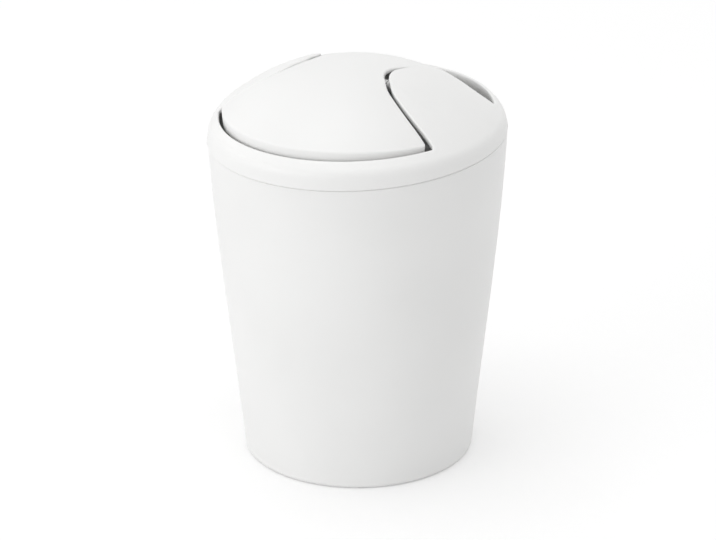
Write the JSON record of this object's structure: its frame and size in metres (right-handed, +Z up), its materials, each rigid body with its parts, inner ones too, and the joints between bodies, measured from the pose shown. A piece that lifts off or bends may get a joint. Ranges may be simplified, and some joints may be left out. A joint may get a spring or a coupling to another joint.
{
  "type": "swing-lid waste bin",
  "caption": "Small round countertop waste bin: tapered bucket, lift-off ring lid with two curved petals, and a see-saw swing flap on a skewed pivot",
  "frame": {"origin": "middle of the foot ring, on the surface the bin stands on", "axes": "+Z up along the bucket, -Y towards the viewer, +X to the viewer's right; the mouth rises towards +X"},
  "size_m": [0.1458, 0.146, 0.2012],
  "materials": {
    "bucket_plastic": "satin moulded white",
    "lid_plastic": "satin moulded white",
    "flap_plastic": "satin moulded white",
    "pin_steel": "turned",
    "weight_steel": "sawn and dull"
  },
  "bodies": {
    "bucket": {"bucket": "bucket_plastic"},
    "lid": {"lid_ring": "lid_plastic"},
    "flap": {"flap": "flap_plastic", "pivot_pin_right": "pin_steel", "pivot_pin_left": "pin_steel", "balance_weight": "weight_steel"}
  },
  "joints": [
    {"name": "lid_lift", "type": "slide", "parent": "bucket", "child": "lid", "axis": [-0.0436, 0, 0.999], "range_m": [0, 0.09]},
    {"name": "flap_swing", "type": "hinge", "parent": "lid", "child": "flap", "pos_m": [-0.00124, 0, 0.19337], "axis": [0.7979, -0.6018, 0.0348], "range_deg": [-46.5, 53.5]}
  ]
}
